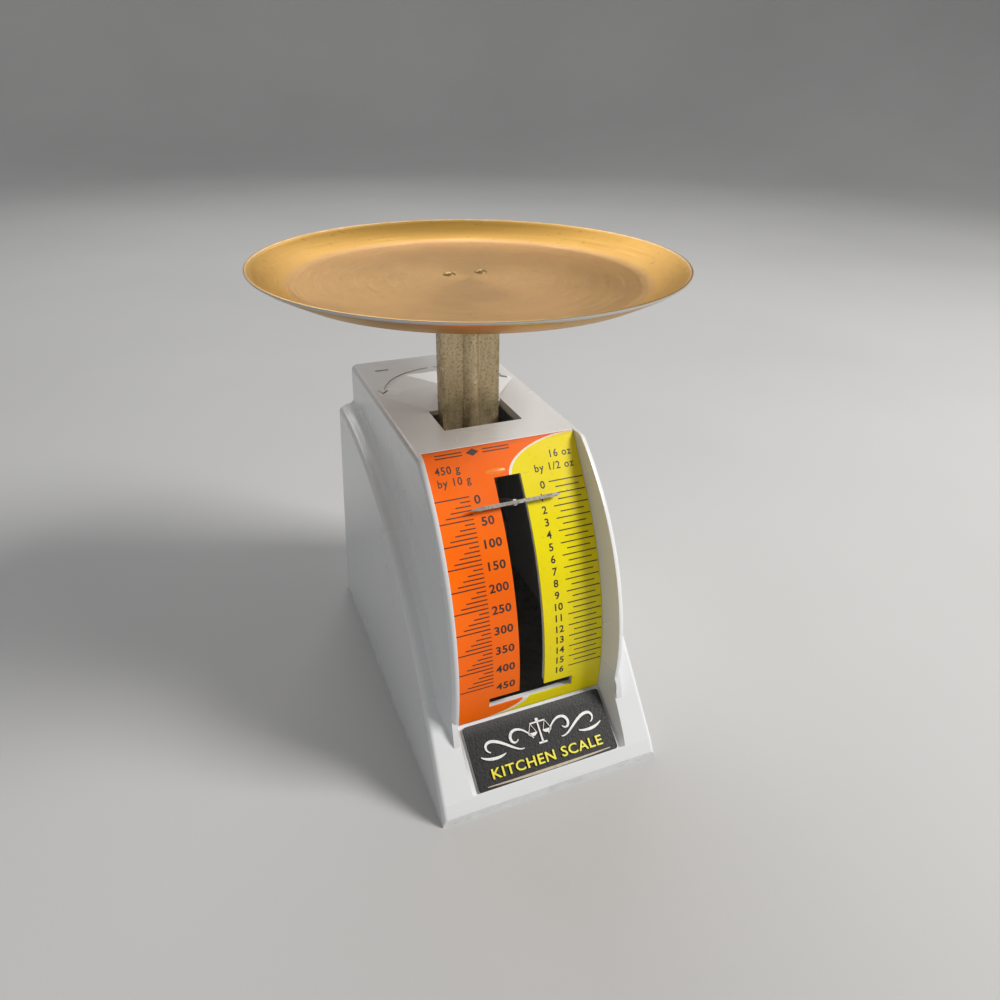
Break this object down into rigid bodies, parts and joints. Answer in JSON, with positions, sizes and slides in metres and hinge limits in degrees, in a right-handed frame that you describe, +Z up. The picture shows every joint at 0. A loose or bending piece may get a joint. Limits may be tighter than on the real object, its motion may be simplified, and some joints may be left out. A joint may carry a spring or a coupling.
{
  "type": "kitchen weighing scale",
  "caption": "Small spring scale: drafted moulded housing, curved dial between two fins, round shallow pan on a flat column, pointer on a parallel lever linkage.",
  "frame": {"origin": "middle of the rectangle that the housing's lower rim stands on", "axes": "+Z up, +Y to the back of the scale, +X to the right of someone reading the dial"},
  "size_m": [0.127, 0.1358, 0.147],
  "materials": {
    "housing": "glossy moulded, white",
    "dial": "printed sheet, orange and yellow halves, black scales",
    "name_plate": "black, fine pebble",
    "zinc_sheet": "zinc plated sheet steel",
    "steel": "turned steel, bright zinc",
    "spring": "spring wire",
    "needle": "dull grey",
    "column_plating": "brass tone, speckled with tarnish",
    "pan_gold": "gold lacquer over brushed sheet, bare lip",
    "rivet": "dull",
    "brass_screw": "turned"
  },
  "bodies": {
    "root": {"housing": "housing", "dial_plate": "dial", "name_plate": "name_plate", "base_cover": "zinc_sheet", "cover_screws": "steel", "frame_bracket": "zinc_sheet", "frame_screws": "steel", "frame_nuts": "steel", "lever_pivot_pin": "steel", "link_pivot_pin": "steel", "pivot_clips": "steel", "stop_pins": "steel", "main_spring": "spring"},
    "main_lever": {"lever": "zinc_sheet", "lever_hub": "steel", "pointer_arm": "zinc_sheet", "pointer_rivets": "steel", "pointer": "needle", "spring_pin": "steel", "column_pin": "steel", "column_pin_clips": "steel"},
    "check_link": {"check_link": "zinc_sheet", "link_hub": "steel", "link_column_pin": "steel"},
    "pan_column": {"column": "column_plating", "pan": "pan_gold", "pan_rivets": "rivet"},
    "zero_screw": {"adjuster_screw": "brass_screw", "adjuster_clip": "steel"},
    "hook": {"spring_hook": "brass_screw"}
  },
  "joints": [
    {"name": "lever_swing", "type": "hinge", "parent": "root", "child": "main_lever", "pos_m": [0, 0.04875, 0.028], "axis": [1, 0, 0], "range_deg": [-3.6, 34.8], "stiffness_Nm_per_rad": 0.34, "springref_deg": -5.16, "deforming": ["main_spring"]},
    {"name": "link_swing", "type": "hinge", "parent": "root", "child": "check_link", "pos_m": [0, 0.04875, 0.062], "axis": [1, 0, 0], "range_deg": [-3.6, 34.8]},
    {"name": "column_level", "type": "hinge", "parent": "main_lever", "child": "pan_column", "pos_m": [0, 0.01234, 0.05445], "axis": [1, 0, 0], "range_deg": [-34.8, 3.6]},
    {"name": "zero_turn", "type": "hinge", "parent": "root", "child": "zero_screw", "pos_m": [0, 0.024, 0.095], "axis": [0, 0, 1], "range_deg": [-360, 360]},
    {"name": "hook_travel", "type": "slide", "parent": "root", "child": "hook", "axis": [0, 0, 1], "range_m": [-0.0007, 0.0007]}
  ],
  "couplings": [
    {"joint": "link_swing", "follows": "lever_swing", "ratio": 1},
    {"joint": "column_level", "follows": "lever_swing", "ratio": -1},
    {"joint": "zero_turn", "follows": "hook_travel", "rad_per_m": -8976}
  ]
}
